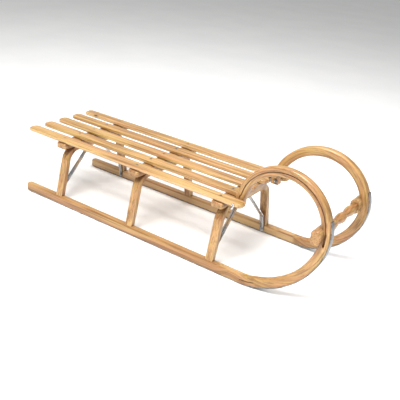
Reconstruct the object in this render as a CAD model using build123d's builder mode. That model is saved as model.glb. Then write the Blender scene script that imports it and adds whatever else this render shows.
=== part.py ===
from build123d import *
import math
import os

# Horn sled: two bent wooden runners that curl up into horns, three bent trestle bows,
# three crossbars, five seat slats, four steel struts, two steel running strips and a
# turned handle bar between the horns.
# Millimetres. +X is forward (towards the horns), +Y is the sled's left, +Z is up.
# The ground is Z = 0 and the origin sits under the middle of the whole sled.

# ---------------------------------------------------------------- driving dimensions
half_length = 592.0          # rear tip of the slats to the front of the horns is twice this

runner_width = 25.0          # along Y
runner_depth = 29.0          # thickness of the bent wood
runner_round = 5.5           # rounding of the runner's long edges
runner_rear_x = -585.0
runner_outboard_y = 184.0    # outer side face of the straight part

strip_thick = 2.5
strip_width = 18.0
strip_gap = 0.01             # keeps the bent steel just clear of the bent wood
strip_rear_x = -572.0
strip_top_angle = 110.0      # how far up the curl the steel strip reaches

curl_low_radius = 245.5      # outer radius where the runner leaves the ground
curl_low_angle = 74.0
curl_front_radius = 160.0    # outer radius over the front of the horn
curl_back_radius = 165.0     # outer radius over the top and down to the seat
curl_end_angle = 270.0
curl_drift = 61.5            # how far each horn has moved inboard by its end
guide_offset = 60.0          # sideways step to the curve that keeps swept sections level

bow_x = (-422.0, -96.0, 230.0)
bow_names = ("rear", "middle", "front")
bow_width = 28.0             # along X
bow_depth = 20.0             # thickness of the bent wood
bow_round = 4.0
bow_bend_radius = 50.0       # on the centre line of the shoulder
bow_top_z = 208.0
leg_lean = 12.1              # degrees from upright, feet outwards
tenon_radius = 7.0
tenon_length = 18.0
tenon_root = 8.0             # how far each tenon starts inside its leg

crossbar_width = 42.0
crossbar_depth = 20.0
crossbar_length = 338.0

slat_width = 40.0
slat_depth = 13.0
slat_pitch = 71.0
slat_end_round = 14.0
slat_edge_round = 4.0
outer_slat_length = 900.0
inner_slat_length = 860.0

strut_width = 14.0
strut_thick = 3.0
strut_knee_z = 66.0
strut_bend_radius = 5.0
strut_end_round = 6.0

handle_x = 554.5
handle_z = 233.0
grip_swell_radius = 15.5
grip_neck_radius = 11.5
grip_swell_pitch = 62.0      # distance between the three swellings
handle_end_width = 30.0      # squared ends of the handle bar, along X
handle_end_height = 46.0
handle_end_round = 13.0
handle_end_edge_round = 5.0
handle_end_inner_y = 106.0
handle_end_outer_y = 175.0

runner_rear_round = 9.0      # plan rounding of the runner's rear end
horn_tip_round = 4.0
strip_end_round = 5.0
crossbar_end_round = 8.0
crossbar_edge_round = 4.0
strip_screw_x = (-550.0, -260.0, 66.0, 310.0)
strip_screw_angles = (38.0, 106.0)

strut_foot_z = 7.0
strut_tab_outer_y = 29.0
strut_tab_inner_y = 6.0

kerf_width = 3.0             # saw kerf in the outboard face of each horn
kerf_depth = 4.0
kerf_low_z = 214.0
kerf_mouth_length = 40.0     # the kerf opens into a slot beside the handle bar
kerf_mouth_width = 6.5
kerf_mouth_x = 575.0
kerf_mouth_z = 224.0

slat_head_radius = 4.2
slat_screw_radius = 2.2
slat_screw_long = 44.0       # through slat and crossbar into the bow
slat_screw_short = 30.0      # through slat into the crossbar
strip_head_radius = 3.5
strip_screw_radius = 1.8
strip_screw_length = 18.0
strip_head_proud = 0.1       # heads on the curved part of the strip stand this far out
pan_head_radius = 4.5
pan_screw_radius = 2.2
pan_screw_length = 17.0
pan_head_ratio = 0.55        # head height over head radius
strut_screw_z = 17.0
strut_screw_y = 16.0
slat_screw_offset = -4.0     # screws sit a little behind each crossbar's centre line
handle_screw_x = 589.2
handle_screw_head = 4.5
handle_screw_radius = 2.5
handle_screw_length = 42.0
horn_bolt_x = 283.0
horn_bolt_z = 234.5
bolt_radius = 3.0
bolt_head_radius = 5.5
bolt_head_rise = 3.2
bolt_key_radius = 2.2        # hexagonal recess in the head, corner to centre
bolt_beyond_nut = 9.0
washer_radius = 7.0
washer_thick = 1.5
nut_thick = 5.0
washer_seat_gap = 0.6        # spot-face in the horn, round and behind the washer

# ---------------------------------------------------------------- derived positions
runner_top_z = strip_thick + runner_depth
runner_inboard_y = runner_outboard_y - runner_width
runner_mid_y = runner_outboard_y - runner_width / 2
crossbar_top_z = bow_top_z + crossbar_depth
seat_top_z = crossbar_top_z + slat_depth
bow_under_z = bow_top_z - bow_depth
lean = math.radians(leg_lean)

radius_step = curl_low_radius - curl_front_radius
low_turn = math.radians(curl_low_angle)
front_centre_x = half_length - strip_thick - curl_front_radius
curl_start_x = front_centre_x - radius_step * math.sin(low_turn)
low_centre_z = strip_thick + curl_low_radius
front_centre_z = low_centre_z - radius_step * math.cos(low_turn)
back_centre_z = front_centre_z + curl_front_radius - curl_back_radius


# ---------------------------------------------------------------- helpers
def inboard_drift(angle):
    """Sideways move of the horn towards the middle, after turning by angle degrees."""
    share = angle / curl_end_angle
    return curl_drift * (1.7 * share - 0.7 * share**2)


def curl_point(side, angle, inset, across):
    """Point on the curl: inset from the outer rim, across from the outboard face."""
    turn = math.radians(angle)
    if angle <= curl_low_angle:
        centre_x, centre_z, radius = curl_start_x, low_centre_z, curl_low_radius
    elif angle <= 180:
        centre_x, centre_z, radius = front_centre_x, front_centre_z, curl_front_radius
    else:
        centre_x, centre_z, radius = front_centre_x, back_centre_z, curl_back_radius
    reach = radius - inset
    y = side * (runner_outboard_y - inboard_drift(angle) - across)
    return (centre_x + reach * math.sin(turn), y, centre_z - reach * math.cos(turn))


def curl_line(side, across):
    """Smooth curve round the whole curl, half-way through the runner's depth."""
    steps = round(curl_end_angle / 13)
    angles = [curl_end_angle * i / steps for i in range(steps + 1)]
    points = [curl_point(side, angle, runner_depth / 2, across) for angle in angles]
    end_turn = math.radians(curl_end_angle)
    end_direction = (math.cos(end_turn), -0.03 * side, math.sin(end_turn))
    return Spline(*points, tangents=((1, 0, 0), end_direction))


def runner_section(side, x):
    """Rounded cross-section of a runner, drawn across the sled at x."""
    with BuildSketch(Plane.YZ.offset(x)) as section:
        with Locations((side * runner_mid_y, strip_thick + runner_depth / 2)):
            RectangleRounded(runner_width, runner_depth, runner_round)
    return section.sketch.face()


def strip_section(side):
    """Rectangular section of the steel strip under a runner."""
    height = strip_thick - strip_gap
    with BuildSketch(Plane.YZ.offset(curl_start_x)) as section:
        with Locations((side * runner_mid_y, height / 2)):
            Rectangle(strip_width, height)
    return section.sketch.face()


def make_runner_blank(side):
    """One bent runner with its horn, before any hole or mortise is cut."""
    curl = curl_line(side, runner_width / 2)
    guide = curl_line(side, runner_width / 2 + guide_offset)
    horn_tip = curl_point(side, curl_end_angle, runner_depth / 2, runner_width / 2)
    with BuildPart() as horn:
        sweep(runner_section(side, curl_start_x), path=curl, binormal=guide)
        fillet(faces().sort_by_distance(horn_tip)[0].edges(), radius=horn_tip_round)
    straight_length = curl_start_x - runner_rear_x
    middle = (runner_rear_x + straight_length / 2, side * runner_mid_y, strip_thick + runner_depth / 2)
    with BuildPart() as blank:
        with Locations(middle):
            Box(straight_length, runner_width, runner_depth)
        fillet(edges().filter_by(Axis.Z).group_by(Axis.X)[0], radius=runner_rear_round)
        front = faces().sort_by(Axis.X)[-1]
        rims = edges().group_by(Axis.Z)[0] + edges().group_by(Axis.Z)[-1]
        fillet(rims - front.edges(), radius=runner_round)
        add(horn)
    return blank


def make_strip_blank(side):
    """Steel strip under one runner and up the front of its horn, without holes."""
    curl = curl_line(side, runner_width / 2)
    guide = curl_line(side, runner_width / 2 + guide_offset)
    top_turn = math.radians(strip_top_angle)
    beyond_top = Plane(
        origin=(front_centre_x, 0, front_centre_z),
        x_dir=(0, 1, 0),
        z_dir=(math.cos(top_turn), 0, math.sin(top_turn)),
    )
    with BuildPart() as strip:
        sweep(strip_section(side), path=curl, binormal=guide)
        with BuildSketch(beyond_top):
            Rectangle(900, 900)
        extrude(amount=600, mode=Mode.SUBTRACT)
        extrude(strip_section(side), amount=strip_rear_x - curl_start_x)
        fillet(edges().filter_by(Axis.Z).group_by(Axis.X)[0], radius=strip_end_round)
    return strip


def make_kerf(side):
    """Saw kerf along the outboard face of one horn, from the handle to the tip."""
    curl = curl_line(side, runner_width / 2)
    guide = curl_line(side, runner_width / 2 + guide_offset)
    with BuildPart() as kerf:
        with BuildSketch(Plane.YZ.offset(curl_start_x)):
            with Locations((side * runner_outboard_y, strip_thick + runner_depth / 2)):
                Rectangle(2 * kerf_depth, kerf_width)
        sweep(path=curl, binormal=guide)
        with Locations((handle_x, 0, 0)):
            Box(320, 500, 2 * kerf_low_z, mode=Mode.SUBTRACT)
        mouth_y = side * (runner_outboard_y - inboard_drift(90))
        with BuildSketch(Plane.XZ.offset(-mouth_y)):
            with Locations((kerf_mouth_x, kerf_mouth_z)):
                SlotOverall(kerf_mouth_length, kerf_mouth_width, rotation=90)
        extrude(amount=2 * kerf_depth, both=True)
    return kerf


def make_wood_screw(head_radius, shank_radius, length):
    """One countersunk screw without its cross recess, head face on Z = 0, point downwards."""
    with BuildPart() as screw:
        with BuildSketch(Plane.XZ):
            Polygon(
                (0, 0),
                (head_radius, 0),
                (shank_radius, shank_radius - head_radius),
                (shank_radius, 3 * shank_radius - length),
                (0, -length),
                align=None,
            )
        revolve(axis=Axis.Z)
    return screw


def make_pan_screw(head_radius, shank_radius, length):
    """One pan-head screw without its recess, underside of the head on Z = 0."""
    rise = head_radius * pan_head_ratio
    with BuildPart() as screw:
        with BuildSketch(Plane.XZ):
            Polygon(
                (0, 0),
                (shank_radius, 0),
                (shank_radius, 3 * shank_radius - length),
                (0, -length),
                align=None,
            )
        revolve(axis=Axis.Z)
        Cylinder(head_radius, rise, align=(Align.CENTER, Align.CENTER, Align.MIN))
        fillet(edges().group_by(Axis.Z)[-1], radius=rise * 0.8)
    return screw


def place_copies(screw, places):
    """A copy of one screw on every plane, kept as separate solids."""
    with BuildPart() as group:
        with Locations(*places):
            add(screw)
    return group


def recess_heads(group, places, head_radius, head_rise=0):
    """The same group of screws with a cross recess cut into every head."""
    slot = head_radius * 0.24
    with BuildPart() as finished:
        add(group)
        for place in places:
            with BuildSketch(place.offset(head_rise)):
                Rectangle(head_radius * 1.1, slot)
                Rectangle(slot, head_radius * 1.1)
            extrude(amount=-head_radius * 0.3, mode=Mode.SUBTRACT)
    return finished


def mirror_across(built):
    """The same piece for the sled's right side."""
    with BuildPart() as other:
        mirror(built.part, about=Plane.XZ)
    return other


def make_bow(x):
    """Bent trestle: two splayed legs with round tenons and a flat top."""
    foot_y = runner_inboard_y + bow_depth / 2 / math.cos(lean)
    top_mid_z = bow_top_z - bow_depth / 2
    corner_y = foot_y - (top_mid_z - runner_top_z) * math.tan(lean)
    low_y = foot_y + 20 * math.tan(lean)
    low_z = runner_top_z - 20
    with BuildPart() as bow:
        with BuildLine(Plane.YZ.offset(x)) as spine:
            FilletPolyline(
                (low_y, low_z),
                (corner_y, top_mid_z),
                (-corner_y, top_mid_z),
                (-low_y, low_z),
                radius=bow_bend_radius,
            )
        with BuildSketch(Plane(spine.line @ 0, x_dir=(1, 0, 0), z_dir=spine.line % 0)):
            RectangleRounded(bow_width, bow_depth, bow_round)
        sweep(path=spine.line)
        with BuildSketch(Plane.XY.offset(runner_top_z)):
            with Locations((x, 0)):
                Rectangle(80, 500)
        extrude(amount=-40, mode=Mode.SUBTRACT)
        for side in (1, -1):
            foot = Plane(
                origin=(x, side * foot_y, runner_top_z),
                x_dir=(1, 0, 0),
                z_dir=(0, side * math.sin(lean), -math.cos(lean)),
            )
            with BuildSketch(foot.offset(-tenon_root)):
                Circle(tenon_radius)
            extrude(amount=tenon_root + tenon_length)
    return bow


def make_crossbar(x):
    """Straight bar that lies across one bow and carries the slats."""
    with BuildPart() as bar:
        with Locations((x, 0, bow_top_z + crossbar_depth / 2)):
            Box(crossbar_width, crossbar_length, crossbar_depth)
        fillet(edges().filter_by(Axis.Z), radius=crossbar_end_round)
        rims = edges().group_by(Axis.Z)[-1] + edges().group_by(Axis.Z)[0]
        fillet(rims, radius=crossbar_edge_round)
    return bar


def make_slat(y, length):
    """Seat slat with round ends and rounded edges, its rear end at the back of the sled."""
    middle = (-half_length + length / 2, y, crossbar_top_z + slat_depth / 2)
    with BuildPart() as slat:
        with Locations(middle):
            Box(length, slat_width, slat_depth)
        fillet(edges().filter_by(Axis.Z), radius=slat_end_round)
        fillet(edges().group_by(Axis.Z)[-1] + edges().group_by(Axis.Z)[0], radius=slat_edge_round)
    return slat


def make_strut(x, side):
    """Flat steel strut: up the runner and leg, then slanting in to the bow's underside."""
    face_y = runner_inboard_y - strut_thick / 2
    knee_inset = strut_thick / 2 / math.cos(lean) + (strut_knee_z - runner_top_z) * math.tan(lean)
    knee_y = runner_inboard_y - knee_inset
    tab_z = bow_under_z - strut_thick / 2
    with BuildPart() as strut:
        with BuildLine(Plane.YZ.offset(x)) as spine:
            FilletPolyline(
                (side * face_y, strut_foot_z),
                (side * face_y, runner_top_z - 2),
                (side * knee_y, strut_knee_z),
                (side * strut_tab_outer_y, tab_z),
                (side * strut_tab_inner_y, tab_z),
                radius=strut_bend_radius,
            )
        with BuildSketch(Plane(spine.line @ 0, x_dir=(1, 0, 0), z_dir=spine.line % 0)):
            Rectangle(strut_width, strut_thick)
        sweep(path=spine.line)
        fillet(edges().filter_by(Axis.Y).group_by(Axis.Z)[0], radius=strut_end_round)
        tab_end = (x, side * strut_tab_inner_y, tab_z)
        tab_corners = faces().sort_by_distance(tab_end)[0].edges().filter_by(Axis.Z)
        fillet(tab_corners, radius=strut_end_round)
    return strut


def make_handle():
    """Handle bar: turned with three swellings, and left square with round corners at its ends."""
    along = Plane((handle_x, 0, handle_z), x_dir=(0, 1, 0), z_dir=(1, 0, 0))
    grip_end_y = handle_end_inner_y + 4
    with BuildPart() as bar:
        with BuildSketch(along):
            with BuildLine():
                Spline(
                    (0, grip_swell_radius),
                    (grip_swell_pitch / 2, grip_neck_radius),
                    (grip_swell_pitch, grip_swell_radius),
                    (grip_end_y, grip_neck_radius),
                    tangents=((1, 0), (1, 0)),
                )
                Polyline((grip_end_y, grip_neck_radius), (grip_end_y, 0), (0, 0), (0, grip_swell_radius))
            make_face()
        revolve(axis=Axis((handle_x, 0, handle_z), (0, 1, 0)))
        end_length = handle_end_outer_y - handle_end_inner_y
        with Locations((handle_x, handle_end_inner_y + end_length / 2, handle_z)):
            Box(handle_end_width, end_length, handle_end_height)
        fillet(edges().filter_by(Axis.Y), radius=handle_end_round)
        fillet(faces().sort_by(Axis.Y)[-1].edges(), radius=handle_end_edge_round)
        mirror(about=Plane.XZ)
    return bar


# ---------------------------------------------------------------- placing planes
slat_names = ("left_outer", "left_inner", "centre", "right_inner", "right_outer")
slat_y = [slat_pitch * (2 - i) for i in range(5)]
slat_screw_x = [x + slat_screw_offset for x in bow_x]
strut_bows = {"rear": bow_x[0], "front": bow_x[2]}


def facing_up(x, y):
    """Plane on the seat surface, facing up."""
    return Plane((x, y, seat_top_z), x_dir=(1, 0, 0), z_dir=(0, 0, 1))


def facing_down(x, y, z):
    """Plane facing the ground."""
    return Plane((x, y, z), x_dir=(1, 0, 0), z_dir=(0, 0, -1))


def facing_forward(x, y, z):
    """Plane facing the front of the sled."""
    return Plane((x, y, z), x_dir=(0, 1, 0), z_dir=(1, 0, 0))


def facing_sideways(x, y, z, direction):
    """Plane facing along +Y or -Y."""
    return Plane((x, y, z), x_dir=(1, 0, 0), z_dir=(0, direction, 0))


def on_strip(angle):
    """Plane on the left steel strip's outer face, part-way up the curl."""
    turn = math.radians(angle)
    spot = curl_point(1, angle, -strip_thick - strip_head_proud, runner_width / 2)
    return Plane(spot, x_dir=(0, 1, 0), z_dir=(math.sin(turn), 0, -math.cos(turn)))


# ---------------------------------------------------------------- fasteners
inner_spots = [facing_up(x, y) for x in slat_screw_x for y in slat_y[1:4]]
outer_spots = [facing_up(x, y) for x in slat_screw_x for y in (slat_y[0], slat_y[4])]
long_screws = place_copies(
    make_wood_screw(slat_head_radius, slat_screw_radius, slat_screw_long), inner_spots
)
short_screws = place_copies(
    make_wood_screw(slat_head_radius, slat_screw_radius, slat_screw_short), outer_spots
)
slat_screws_long = recess_heads(long_screws, inner_spots, slat_head_radius)
slat_screws_short = recess_heads(short_screws, outer_spots, slat_head_radius)

foot_spots = [
    facing_sideways(x, side * (runner_inboard_y - strut_thick), strut_screw_z, -side)
    for x in strut_bows.values()
    for side in (1, -1)
]
tab_spots = [
    facing_down(x, side * strut_screw_y, bow_under_z - strut_thick)
    for x in strut_bows.values()
    for side in (1, -1)
]
strut_spots = foot_spots + tab_spots
pan_screws = place_copies(
    make_pan_screw(pan_head_radius, pan_screw_radius, pan_screw_length), strut_spots
)
pan_rise = pan_head_radius * pan_head_ratio
strut_screws = recess_heads(pan_screws, strut_spots, pan_head_radius, pan_rise)

strip_spots = [facing_down(x, runner_mid_y, 0) for x in strip_screw_x]
strip_spots += [on_strip(angle) for angle in strip_screw_angles]
strip_plain = place_copies(
    make_wood_screw(strip_head_radius, strip_screw_radius, strip_screw_length), strip_spots
)
strip_screws_left = recess_heads(strip_plain, strip_spots, strip_head_radius)

handle_screw_y = runner_mid_y - inboard_drift(92)
handle_spots = [facing_forward(handle_screw_x, s * handle_screw_y, handle_z) for s in (1, -1)]
handle_screws = place_copies(
    make_wood_screw(handle_screw_head, handle_screw_radius, handle_screw_length), handle_spots
)

outer_edge_y = slat_y[0] + slat_width / 2
nut_face_y = runner_inboard_y - curl_drift + washer_seat_gap
head_spots = [facing_sideways(horn_bolt_x, s * outer_edge_y, horn_bolt_z, s) for s in (1, -1)]
nut_spots = [facing_sideways(horn_bolt_x, s * nut_face_y, horn_bolt_z, s) for s in (1, -1)]
bolt_reach = outer_edge_y - nut_face_y + bolt_beyond_nut
with BuildPart() as horn_bolts:
    for place in head_spots:
        with BuildSketch(place):
            Circle(bolt_radius)
        extrude(amount=-bolt_reach)
        with BuildSketch(place):
            Circle(bolt_head_radius)
        extrude(amount=bolt_head_rise)
    rims = edges().filter_by(GeomType.CIRCLE).group_by(Axis.Y)
    fillet(rims[0] + rims[-1], radius=bolt_head_rise * 0.75)
    for place in head_spots:
        with BuildSketch(place.offset(bolt_head_rise)):
            RegularPolygon(bolt_key_radius, 6)
        extrude(amount=-bolt_head_rise * 0.8, mode=Mode.SUBTRACT)
with BuildPart() as horn_washers:
    for place in nut_spots:
        with BuildSketch(place):
            Circle(washer_radius)
            Circle(bolt_radius, mode=Mode.SUBTRACT)
        extrude(amount=-washer_thick)
with BuildPart() as horn_nuts:
    for place in nut_spots:
        with BuildSketch(place.offset(-washer_thick)):
            RegularPolygon(bolt_radius * 1.67, 6, major_radius=False)
            Circle(bolt_radius, mode=Mode.SUBTRACT)
        extrude(amount=-nut_thick)
with BuildPart() as washer_seats:
    for place in nut_spots:
        with BuildSketch(place):
            Circle(washer_radius + washer_seat_gap)
        extrude(amount=-12)

# ---------------------------------------------------------------- wooden and steel parts
parts = {
    "slat_screws_long": slat_screws_long,
    "slat_screws_short": slat_screws_short,
    "strut_screws": strut_screws,
    "strip_screws_left": strip_screws_left,
    "strip_screws_right": mirror_across(strip_screws_left),
    "handle_screws": handle_screws,
    "horn_bolts": horn_bolts,
    "horn_washers": horn_washers,
    "horn_nuts": horn_nuts,
}

for name, y in zip(slat_names, slat_y):
    length = outer_slat_length if name.endswith("outer") else inner_slat_length
    with BuildPart() as seat_slat:
        add(make_slat(y, length))
        for holes in (long_screws, short_screws, horn_bolts):
            add(holes, mode=Mode.SUBTRACT)
    parts[f"seat_slat_{name}"] = seat_slat

bows = [make_bow(x) for x in bow_x]
for name, x, bow in zip(bow_names, bow_x, bows):
    with BuildPart() as trestle_bow:
        add(bow)
        for holes in (long_screws, pan_screws):
            add(holes, mode=Mode.SUBTRACT)
    parts[f"trestle_bow_{name}"] = trestle_bow
    with BuildPart() as crossbar:
        add(make_crossbar(x))
        for holes in (long_screws, short_screws):
            add(holes, mode=Mode.SUBTRACT)
    parts[f"crossbar_{name}"] = crossbar

runner_blank = make_runner_blank(1)
with BuildPart() as runner_left:
    add(runner_blank)
    add(make_kerf(1), mode=Mode.SUBTRACT)
    for bow in bows:
        add(bow, mode=Mode.SUBTRACT)
    for holes in (washer_seats, pan_screws, strip_plain, handle_screws, horn_bolts):
        add(holes, mode=Mode.SUBTRACT)
with BuildPart() as running_strip_left:
    add(make_strip_blank(1))
    add(strip_plain, mode=Mode.SUBTRACT)
parts["runner_left"] = runner_left
parts["runner_right"] = mirror_across(runner_left)
parts["running_strip_left"] = running_strip_left
parts["running_strip_right"] = mirror_across(running_strip_left)

for name, x in strut_bows.items():
    with BuildPart() as strut_left:
        add(make_strut(x, 1))
        add(pan_screws, mode=Mode.SUBTRACT)
    parts[f"strut_{name}_left"] = strut_left
    parts[f"strut_{name}_right"] = mirror_across(strut_left)

with BuildPart() as handle_bar:
    add(make_handle())
    add(runner_blank, mode=Mode.SUBTRACT)
    add(mirror_across(runner_blank), mode=Mode.SUBTRACT)
    add(handle_screws, mode=Mode.SUBTRACT)
parts["handle_bar"] = handle_bar

# ---------------------------------------------------------------- files
os.makedirs("parts", exist_ok=True)
for name, built in parts.items():
    built.part.label = name
    export_step(built.part, f"parts/{name}.step")
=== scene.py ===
import math

import bpy
from mathutils import Matrix, Vector

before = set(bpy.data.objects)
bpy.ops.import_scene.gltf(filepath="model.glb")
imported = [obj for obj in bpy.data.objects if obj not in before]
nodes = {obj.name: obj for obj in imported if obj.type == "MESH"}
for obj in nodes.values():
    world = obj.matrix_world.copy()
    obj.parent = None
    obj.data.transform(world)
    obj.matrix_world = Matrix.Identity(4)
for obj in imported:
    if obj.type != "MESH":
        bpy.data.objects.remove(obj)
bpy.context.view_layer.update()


# ---------------------------------------------------------------- node helpers
class Tree:
    """Short-hand for building one material's node tree."""

    def __init__(self, name):
        self.material = bpy.data.materials.new(name)
        self.material.use_nodes = True
        self.nodes = self.material.node_tree.nodes
        self.links = self.material.node_tree.links
        self.nodes.clear()
        self.shader = self.nodes.new("ShaderNodeBsdfPrincipled")
        output = self.nodes.new("ShaderNodeOutputMaterial")
        self.links.new(self.shader.outputs[0], output.inputs[0])

    def feed(self, socket, value):
        if isinstance(value, bpy.types.NodeSocket):
            self.links.new(value, socket)
        else:
            socket.default_value = value

    def math(self, operation, a, b=0.0):
        node = self.nodes.new("ShaderNodeMath")
        node.operation = operation
        self.feed(node.inputs[0], a)
        self.feed(node.inputs[1], b)
        return node.outputs[0]

    def blend(self, share, a, b):
        """Plain number a where share is 0 and b where it is 1."""
        kept = self.math("MULTIPLY", a, self.math("SUBTRACT", 1.0, share))
        return self.math("ADD", kept, self.math("MULTIPLY", b, share))

    def distance(self, a, b):
        squares = self.math("ADD", self.math("MULTIPLY", a, a), self.math("MULTIPLY", b, b))
        return self.math("SQRT", squares)

    def vector_math(self, operation, a, b):
        node = self.nodes.new("ShaderNodeVectorMath")
        node.operation = operation
        self.feed(node.inputs[0], a)
        self.feed(node.inputs[1], b)
        return node.outputs[0]

    def combine(self, x, y, z):
        node = self.nodes.new("ShaderNodeCombineXYZ")
        for socket, value in zip(node.inputs, (x, y, z)):
            self.feed(socket, value)
        return node.outputs[0]

    def position(self):
        return self.nodes.new("ShaderNodeTexCoord").outputs["Object"]

    def separate(self, vector):
        node = self.nodes.new("ShaderNodeSeparateXYZ")
        self.feed(node.inputs[0], vector)
        return node.outputs

    def noise(self, vector, scale, detail=2.0, roughness=0.5, distortion=0.0):
        node = self.nodes.new("ShaderNodeTexNoise")
        self.feed(node.inputs["Vector"], vector)
        node.inputs["Scale"].default_value = scale
        node.inputs["Detail"].default_value = detail
        node.inputs["Roughness"].default_value = roughness
        node.inputs["Distortion"].default_value = distortion
        return node.outputs["Fac"]

    def openness(self, reach):
        """1 on open surfaces, falling towards 0 in corners and gaps."""
        node = self.nodes.new("ShaderNodeAmbientOcclusion")
        node.samples = 8
        node.inputs["Distance"].default_value = reach
        return node.outputs["AO"]

    def ramp(self, value, low, high, to_low=0.0, to_high=1.0):
        node = self.nodes.new("ShaderNodeMapRange")
        node.interpolation_type = "SMOOTHSTEP"
        self.feed(node.inputs["Value"], value)
        node.inputs["From Min"].default_value = low
        node.inputs["From Max"].default_value = high
        node.inputs["To Min"].default_value = to_low
        node.inputs["To Max"].default_value = to_high
        return node.outputs["Result"]

    def mix(self, share, a, b, blend="MIX"):
        node = self.nodes.new("ShaderNodeMix")
        node.data_type = "RGBA"
        node.blend_type = blend
        self.feed(node.inputs[0], share)
        self.feed(node.inputs[6], a)
        self.feed(node.inputs[7], b)
        return node.outputs[2]

    def bump(self, height, strength, distance, normal=None):
        node = self.nodes.new("ShaderNodeBump")
        node.inputs["Strength"].default_value = strength
        node.inputs["Distance"].default_value = distance
        self.feed(node.inputs["Height"], height)
        if normal is not None:
            self.links.new(normal, node.inputs["Normal"])
        return node.outputs["Normal"]


def rgb(r, g, b):
    return (r, g, b, 1.0)


# ---------------------------------------------------------------- wood
PALE = rgb(0.550, 0.340, 0.134)
MIDDLE = rgb(0.330, 0.168, 0.054)
PINK = rgb(0.500, 0.235, 0.110)
STRAW = rgb(0.520, 0.370, 0.110)
HONEY = rgb(0.440, 0.215, 0.066)
DEEP = rgb(0.115, 0.044, 0.012)
RAY = rgb(0.110, 0.040, 0.010)
# Painted highlight colour, laid on convex edges.
EDGE_HIGHLIGHT = rgb(0.660, 0.450, 0.230)
KNOT = rgb(0.095, 0.040, 0.016)
PAINTED_SHADE_REACH = 0.030        # metres over which painted shade darkens corners and gaps

# Where the grain turns, in metres.
HORN_CENTRE_X = 0.420
HORN_CENTRE_Z = 0.232
HORN_RADIUS = 0.165
CURL_X = (0.25, 0.36)        # the grain turns from straight to round between these
HORN_Z = (0.08, 0.12)        # above this all of a runner is horn
PAST_TOP = -1.2              # radians: a horn's angle jumps below this past its top
LEG_Y = (0.080, 0.125)       # a bow's grain turns down its leg between these
BOW_TOP_Z = 0.208
LEG_START = 0.11             # length along a bow at which its leg begins

KNOT_STRETCH = 0.55          # knots are longer along the slat by one over this


def shift(tree, grain, seed):
    """The same grain space, moved so that no two pieces match."""
    return tuple(tree.math("ADD", part, step) for part, step in zip(grain, seed))


def grain_along_x(tree, seed):
    """Grain that runs along the sled."""
    place = tree.vector_math("ADD", tree.position(), seed)
    x, y, z = tree.separate(place)[:3]
    return (x, y, z)


def grain_along_y(tree, seed):
    """Grain that runs across the sled."""
    place = tree.vector_math("ADD", tree.position(), seed)
    x, y, z = tree.separate(place)[:3]
    return (y, x, z)


def grain_of_runner(tree, seed):
    """Grain that follows the runner: straight under the sled, then round the curl."""
    x, y, z = tree.separate(tree.position())[:3]
    dx = tree.math("SUBTRACT", x, HORN_CENTRE_X)
    dz = tree.math("SUBTRACT", z, HORN_CENTRE_Z)
    turn = tree.math("ARCTAN2", dx, tree.math("MULTIPLY", dz, -1.0))
    past_top = tree.math("LESS_THAN", turn, PAST_TOP)
    turn = tree.math("ADD", turn, tree.math("MULTIPLY", past_top, 2 * math.pi))
    curl_along = tree.math("ADD", tree.math("MULTIPLY", turn, HORN_RADIUS), HORN_CENTRE_X)
    curl_depth = tree.math("SUBTRACT", HORN_CENTRE_Z, tree.distance(dx, dz))
    in_curl = tree.math("MAXIMUM", tree.ramp(x, *CURL_X), tree.ramp(z, *HORN_Z))
    along = tree.blend(in_curl, x, curl_along)
    depth = tree.blend(in_curl, z, curl_depth)
    return shift(tree, (along, y, depth), seed)


def grain_of_bow(tree, seed):
    """Grain that follows a bow: up one leg, round the shoulder and across the top."""
    x, y, z = tree.separate(tree.position())[:3]
    outward = tree.math("ABSOLUTE", y)
    in_leg = tree.ramp(outward, *LEG_Y)
    leg_along = tree.math("ADD", tree.math("SUBTRACT", BOW_TOP_Z, z), LEG_START)
    along = tree.blend(in_leg, outward, leg_along)
    across = tree.blend(in_leg, z, outward)
    return shift(tree, (along, x, across), seed)


def grain_noise(tree, grain, stretch, fineness, detail, roughness, distortion=0.0):
    """Noise drawn out along the grain: cells per metre along it and across it."""
    along, across, depth = grain
    place = tree.combine(
        tree.math("MULTIPLY", along, stretch),
        tree.math("MULTIPLY", across, fineness),
        tree.math("MULTIPLY", depth, fineness),
    )
    return tree.noise(place, 1.0, detail, roughness, distortion)


def add_knot(tree, colour, stripes, knot_x, knot_y, knot_size):
    """A dark knot with an uneven rim and a brown halo, at a place on a slat."""
    x, y = tree.separate(tree.position())[:2]
    kx = tree.math("MULTIPLY", tree.math("SUBTRACT", x, knot_x), KNOT_STRETCH)
    ky = tree.math("SUBTRACT", y, knot_y)
    uneven = tree.math("MULTIPLY", tree.math("SUBTRACT", stripes, 0.5), knot_size)
    reach = tree.math("ADD", tree.distance(kx, ky), uneven)
    halo = tree.ramp(reach, knot_size * 0.8, knot_size * 2.4, 0.55, 0.0)
    core = tree.ramp(reach, knot_size * 0.55, knot_size * 0.95, 0.95, 0.0)
    return tree.mix(core, tree.mix(halo, colour, DEEP), KNOT)


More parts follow.
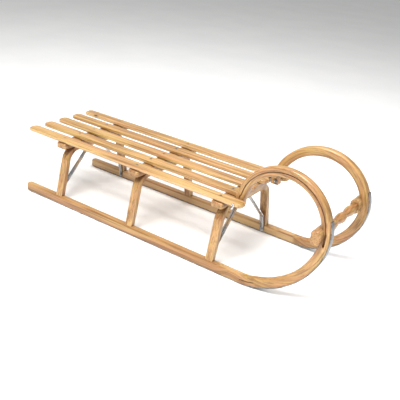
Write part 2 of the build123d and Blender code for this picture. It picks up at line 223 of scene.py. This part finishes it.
def beech(name, space, seed, tone, warmth, painted_shade_strength, knots=()):
    """Clear-lacquered beech: broad figure, fine grain, short rays, painted highlight on edges,
    painted shade in hollows and corners, and bump.

    Tone and warmth shift the piece's colour, and the strength after them is how far painted shade
    darkens its corners and gaps.
    """
    tree = Tree(name)
    grain = space(tree, seed)
    broad = grain_noise(tree, grain, 2.6, 46.0, 3.0, 0.55, 0.3)
    hue = grain_noise(tree, grain, 3.5, 110.0, 2.0, 0.5, 0.1)
    stripes = grain_noise(tree, grain, 4.0, 210.0, 4.0, 0.6, 0.1)
    fibres = grain_noise(tree, grain, 60.0, 1500.0, 2.0, 0.6)
    rays = grain_noise(tree, grain, 330.0, 1700.0, 1.0, 0.4)
    cloud = tree.noise(tree.vector_math("ADD", tree.position(), seed), 7.0, 2.0, 0.5)
    layers = (
        # pattern, value where it begins, value where it is full, strength, colour
        (broad, 0.40, 0.62, 1.00, MIDDLE),
        (hue, 0.53, 0.63, 0.60, PINK),
        (hue, 0.47, 0.36, 0.65, STRAW),
        (stripes, 0.46, 0.62, 0.62, DEEP),
        (rays, 0.62, 0.74, 0.42, RAY),
        (fibres, 0.35, 0.75, 0.18, DEEP),
        (cloud, 0.35, 0.70, 0.20, HONEY),
    )
    colour = PALE
    for pattern, begins, full, strength, layer in layers:
        colour = tree.mix(tree.ramp(pattern, begins, full, 0.0, strength), colour, layer)
    shade = 1.0 + tone
    tint = rgb(shade * (1.0 + warmth), shade, shade * (1.0 - warmth))
    colour = tree.mix(1.0, colour, tint, "MULTIPLY")
    for knot in knots:
        colour = add_knot(tree, colour, stripes, *knot)
    # Painted highlight: convex edges are lightened as if lit.
    convexity = tree.nodes.new("ShaderNodeNewGeometry").outputs["Pointiness"]
    painted_edge_highlight = tree.ramp(convexity, 0.515, 0.60, 0.0, 0.45)
    colour = tree.mix(painted_edge_highlight, colour, EDGE_HIGHLIGHT)
    # Painted shade: concave spots are darkened towards deep brown where shade falls.
    painted_hollow_shade = tree.ramp(convexity, 0.40, 0.490, 0.75, 0.0)
    colour = tree.mix(painted_hollow_shade, colour, DEEP)
    # Painted shade: an occlusion node darkens corners and gaps where shade falls, such as the
    # crossbars under the slats.
    painted_corner_shade = tree.ramp(tree.openness(PAINTED_SHADE_REACH), 0.48, 0.96, painted_shade_strength, 0.0)
    colour = tree.mix(painted_corner_shade, colour, DEEP)
    tree.feed(tree.shader.inputs["Base Color"], colour)
    rough = tree.ramp(stripes, 0.3, 0.8, 0.30, 0.44)
    rough = tree.math("ADD", rough, tree.ramp(cloud, 0.3, 0.7, -0.03, 0.06))
    tree.feed(tree.shader.inputs["Roughness"], rough)
    tree.shader.inputs["IOR"].default_value = 1.48
    tree.shader.inputs["Coat Weight"].default_value = 0.32
    tree.shader.inputs["Coat Roughness"].default_value = 0.18
    fine = tree.bump(fibres, 0.10, 0.0003)
    tree.feed(tree.shader.inputs["Normal"], tree.bump(stripes, 0.16, 0.0008, fine))
    return tree.material


# ---------------------------------------------------------------- metal
CRYSTAL = rgb(0.72, 0.73, 0.75)
MARK_COLOUR = rgb(0.13, 0.10, 0.075)


def steel(name, base, dark, rough, brush, marking, spangle=0.0):
    """Plain steel: drawn lines, cloudy tone, faint zinc crystals and small dark marks; on the
    struts the dark lines are painted reflection streaks.

    Brush is how fine the drawn lines and painted reflection streaks are along each axis, in cells
    per metre.
    """
    tree = Tree(name)
    place = tree.position()
    drawn_lines_and_reflection = tree.noise(tree.vector_math("MULTIPLY", place, brush), 1.0, 3.0, 0.6)
    cloud = tree.noise(place, 38.0, 3.0, 0.6)
    crystal = tree.nodes.new("ShaderNodeTexVoronoi")
    tree.feed(crystal.inputs["Vector"], place)
    crystal.inputs["Scale"].default_value = 260.0
    colour = tree.mix(tree.ramp(cloud, 0.35, 0.75, 0.0, 0.7), base, dark)
    # Drawn lines; on the struts these dark lines are painted reflection streaks along their length.
    colour = tree.mix(tree.ramp(drawn_lines_and_reflection, 0.50, 0.60, 0.0, 0.75), colour, dark)
    patch = tree.math("MULTIPLY", crystal.outputs["Color"], spangle)
    colour = tree.mix(patch, colour, CRYSTAL)
    # Small dark marks laid over the steel by noise.
    dark_mark = tree.ramp(tree.noise(place, 95.0, 4.0, 0.7), 0.62, 0.80, 0.0, marking)
    colour = tree.mix(dark_mark, colour, MARK_COLOUR)
    tree.feed(tree.shader.inputs["Base Color"], colour)
    tree.shader.inputs["Metallic"].default_value = 1.0
    gloss = tree.ramp(drawn_lines_and_reflection, 0.3, 0.8, rough - 0.05, rough + 0.12)
    gloss = tree.math("ADD", gloss, tree.math("MULTIPLY", dark_mark, 0.35))
    tree.feed(tree.shader.inputs["Roughness"], gloss)
    tree.feed(tree.shader.inputs["Normal"], tree.bump(drawn_lines_and_reflection, 0.12, 0.0003))
    return tree.material


# ---------------------------------------------------------------- give each CAD node its finish
def dress(node, material):
    """Give a whole CAD node one finish."""
    data = nodes[node].data
    data.materials.clear()
    data.materials.append(material)
    for face in data.polygons:
        face.material_index = 0


slat_tones = {
    # tone, warmth, knots as x, y and size in metres
    "left_outer": (0.02, 0.00, ((-0.531, 0.1220, 0.0042),)),
    "left_inner": (-0.03, 0.02, ()),
    "centre": (0.05, -0.01, ()),
    "right_inner": (-0.01, 0.015, ()),
    "right_outer": (0.03, 0.00, ()),
}
for order, (name, (tone, warmth, knots)) in enumerate(slat_tones.items()):
    seed = (0.37 * order, 1.13 * order + 0.2, 0.71 * order)
    finish = beech(f"beech_slat_{name}", grain_along_x, seed, tone, warmth, 0.15, knots)
    dress(f"seat_slat_{name}", finish)
# Painted shade: crossbars and bows take a lower tone than the slats, darkening them as if shaded
# under the seat, and strong painted shade in their corners.
for order, name in enumerate(("rear", "middle", "front")):
    seed = (2.1 + 0.5 * order, 0.3 * order, 1.7 * order)
    finish = beech(f"beech_crossbar_{name}", grain_along_y, seed, -0.16, 0.04, 0.95)
    dress(f"crossbar_{name}", finish)
    seed = (4.3 + 0.9 * order, 0.6 * order, 0.4 * order)
    finish = beech(f"beech_bow_{name}", grain_of_bow, seed, -0.07, 0.03, 0.75)
    dress(f"trestle_bow_{name}", finish)
for order, name in enumerate(("left", "right")):
    seed = (0.9 * order, 0.7 * order, 0.35 * order)
    finish = beech(f"beech_runner_{name}", grain_of_runner, seed, -0.11, 0.05, 0.35)
    dress(f"runner_{name}", finish)
dress("handle_bar", beech("beech_handle", grain_along_y, (3.3, 1.9, 0.8), -0.05, 0.03, 0.45))

strip_finish = steel(
    "rolled_steel", rgb(0.27, 0.275, 0.28), rgb(0.08, 0.08, 0.085), 0.24, (40, 700, 40), 0.45
)
# Painted reflection: the near-black dark colour streaks the struts lengthwise as if reflecting dark
# surroundings.
strut_finish = steel(
    "galvanised_steel", rgb(0.78, 0.79, 0.80), rgb(0.06, 0.06, 0.065), 0.20, (170, 8, 8), 0.25, 0.06
)
screw_finish = steel(
    "zinc_screw", rgb(0.34, 0.335, 0.33), rgb(0.16, 0.155, 0.15), 0.34, (700, 700, 700), 0.5
)
# The near-black dark colour and strong mark layer put dark marks on the bright bolt heads.
bolt_finish = steel(
    "bright_zinc", rgb(0.80, 0.80, 0.79), rgb(0.05, 0.05, 0.05), 0.16, (400, 400, 400), 0.60
)
for name in ("left", "right"):
    dress(f"running_strip_{name}", strip_finish)
    dress(f"strip_screws_{name}", screw_finish)
    for end in ("front", "rear"):
        dress(f"strut_{end}_{name}", strut_finish)
screws = ("slat_screws_long", "slat_screws_short", "strut_screws", "handle_screws")
for name in screws + ("horn_washers", "horn_nuts"):
    dress(name, screw_finish)
dress("horn_bolts", bolt_finish)


# ---------------------------------------------------------------- floor
FLOOR_HALF = 14.0            # metres from the middle of the floor to its sides


def make_floor():
    """A wide, flat, pale floor."""
    mesh = bpy.data.meshes.new("floor")
    low, high = -FLOOR_HALF, FLOOR_HALF
    corners = [(low, low, 0), (high, low, 0), (high, high, 0), (low, high, 0)]
    mesh.from_pydata(corners, [], [(0, 1, 2, 3)])
    floor = bpy.data.objects.new("floor", mesh)
    bpy.context.scene.collection.objects.link(floor)
    tree = Tree("pale_floor")
    tint = tree.noise(tree.position(), 3.0, 3.0, 0.5)
    colour = tree.mix(tree.ramp(tint, 0.3, 0.7), rgb(0.90, 0.90, 0.90), rgb(0.93, 0.93, 0.925))
    tree.feed(tree.shader.inputs["Base Color"], colour)
    tree.shader.inputs["Roughness"].default_value = 0.8
    tree.shader.inputs["Specular IOR Level"].default_value = 0.2
    mesh.materials.append(tree.material)


make_floor()


# ---------------------------------------------------------------- light
def area_light(name, place, target, size, power, tint=(1, 1, 1)):
    """A square or oblong lamp aimed at a point."""
    data = bpy.data.lights.new(name, "AREA")
    data.shape = "RECTANGLE"
    data.size, data.size_y = size
    data.energy = power
    data.color = tint
    lamp = bpy.data.objects.new(name, data)
    bpy.context.scene.collection.objects.link(lamp)
    lamp.location = place
    aim = Vector(target) - Vector(place)
    lamp.rotation_euler = aim.to_track_quat("-Z", "Y").to_euler()


area_light("key", (0.3, -1.6, 2.8), (0, 0, 0.1), (1.4, 1.4), 142.0, (1.0, 0.99, 0.97))
area_light("overhead", (-0.2, 0.6, 3.2), (0, 0, 0.1), (2.2, 2.2), 58.0)
area_light("front_fill", (3.0, -0.6, 1.1), (0.3, 0, 0.2), (1.2, 1.2), 8.0)

world = bpy.data.worlds.new("studio")
bpy.context.scene.world = world
world.use_nodes = True
background = world.node_tree.nodes["Background"]
background.inputs["Color"].default_value = (1.0, 1.0, 1.0, 1.0)
background.inputs["Strength"].default_value = 0.42

bpy.context.scene.view_settings.view_transform = "Standard"

# ---------------------------------------------------------------- camera
AZIMUTH, ELEVATION, ROLL = math.radians(32.47), math.radians(25.08), math.radians(5.8)
TARGET = Vector((0.0965, -0.05125, 0.150))
DISTANCE = 2.08385
camera_data = bpy.data.cameras.new("camera")
camera_data.sensor_width = 36.0
camera_data.lens = 57.46
camera_data.clip_end = 60.0
camera = bpy.data.objects.new("camera", camera_data)
bpy.context.scene.collection.objects.link(camera)
back = Vector((
    math.sin(AZIMUTH) * math.cos(ELEVATION),
    -math.cos(AZIMUTH) * math.cos(ELEVATION),
    math.sin(ELEVATION),
))
level = Vector((math.cos(AZIMUTH), math.sin(AZIMUTH), 0.0))
upright = back.cross(level)
right = level * math.cos(ROLL) + upright * math.sin(ROLL)
up = upright * math.cos(ROLL) - level * math.sin(ROLL)
turn = Matrix((right, up, back)).transposed().to_4x4()
camera.matrix_world = Matrix.Translation(TARGET + back * DISTANCE) @ turn
bpy.context.scene.camera = camera
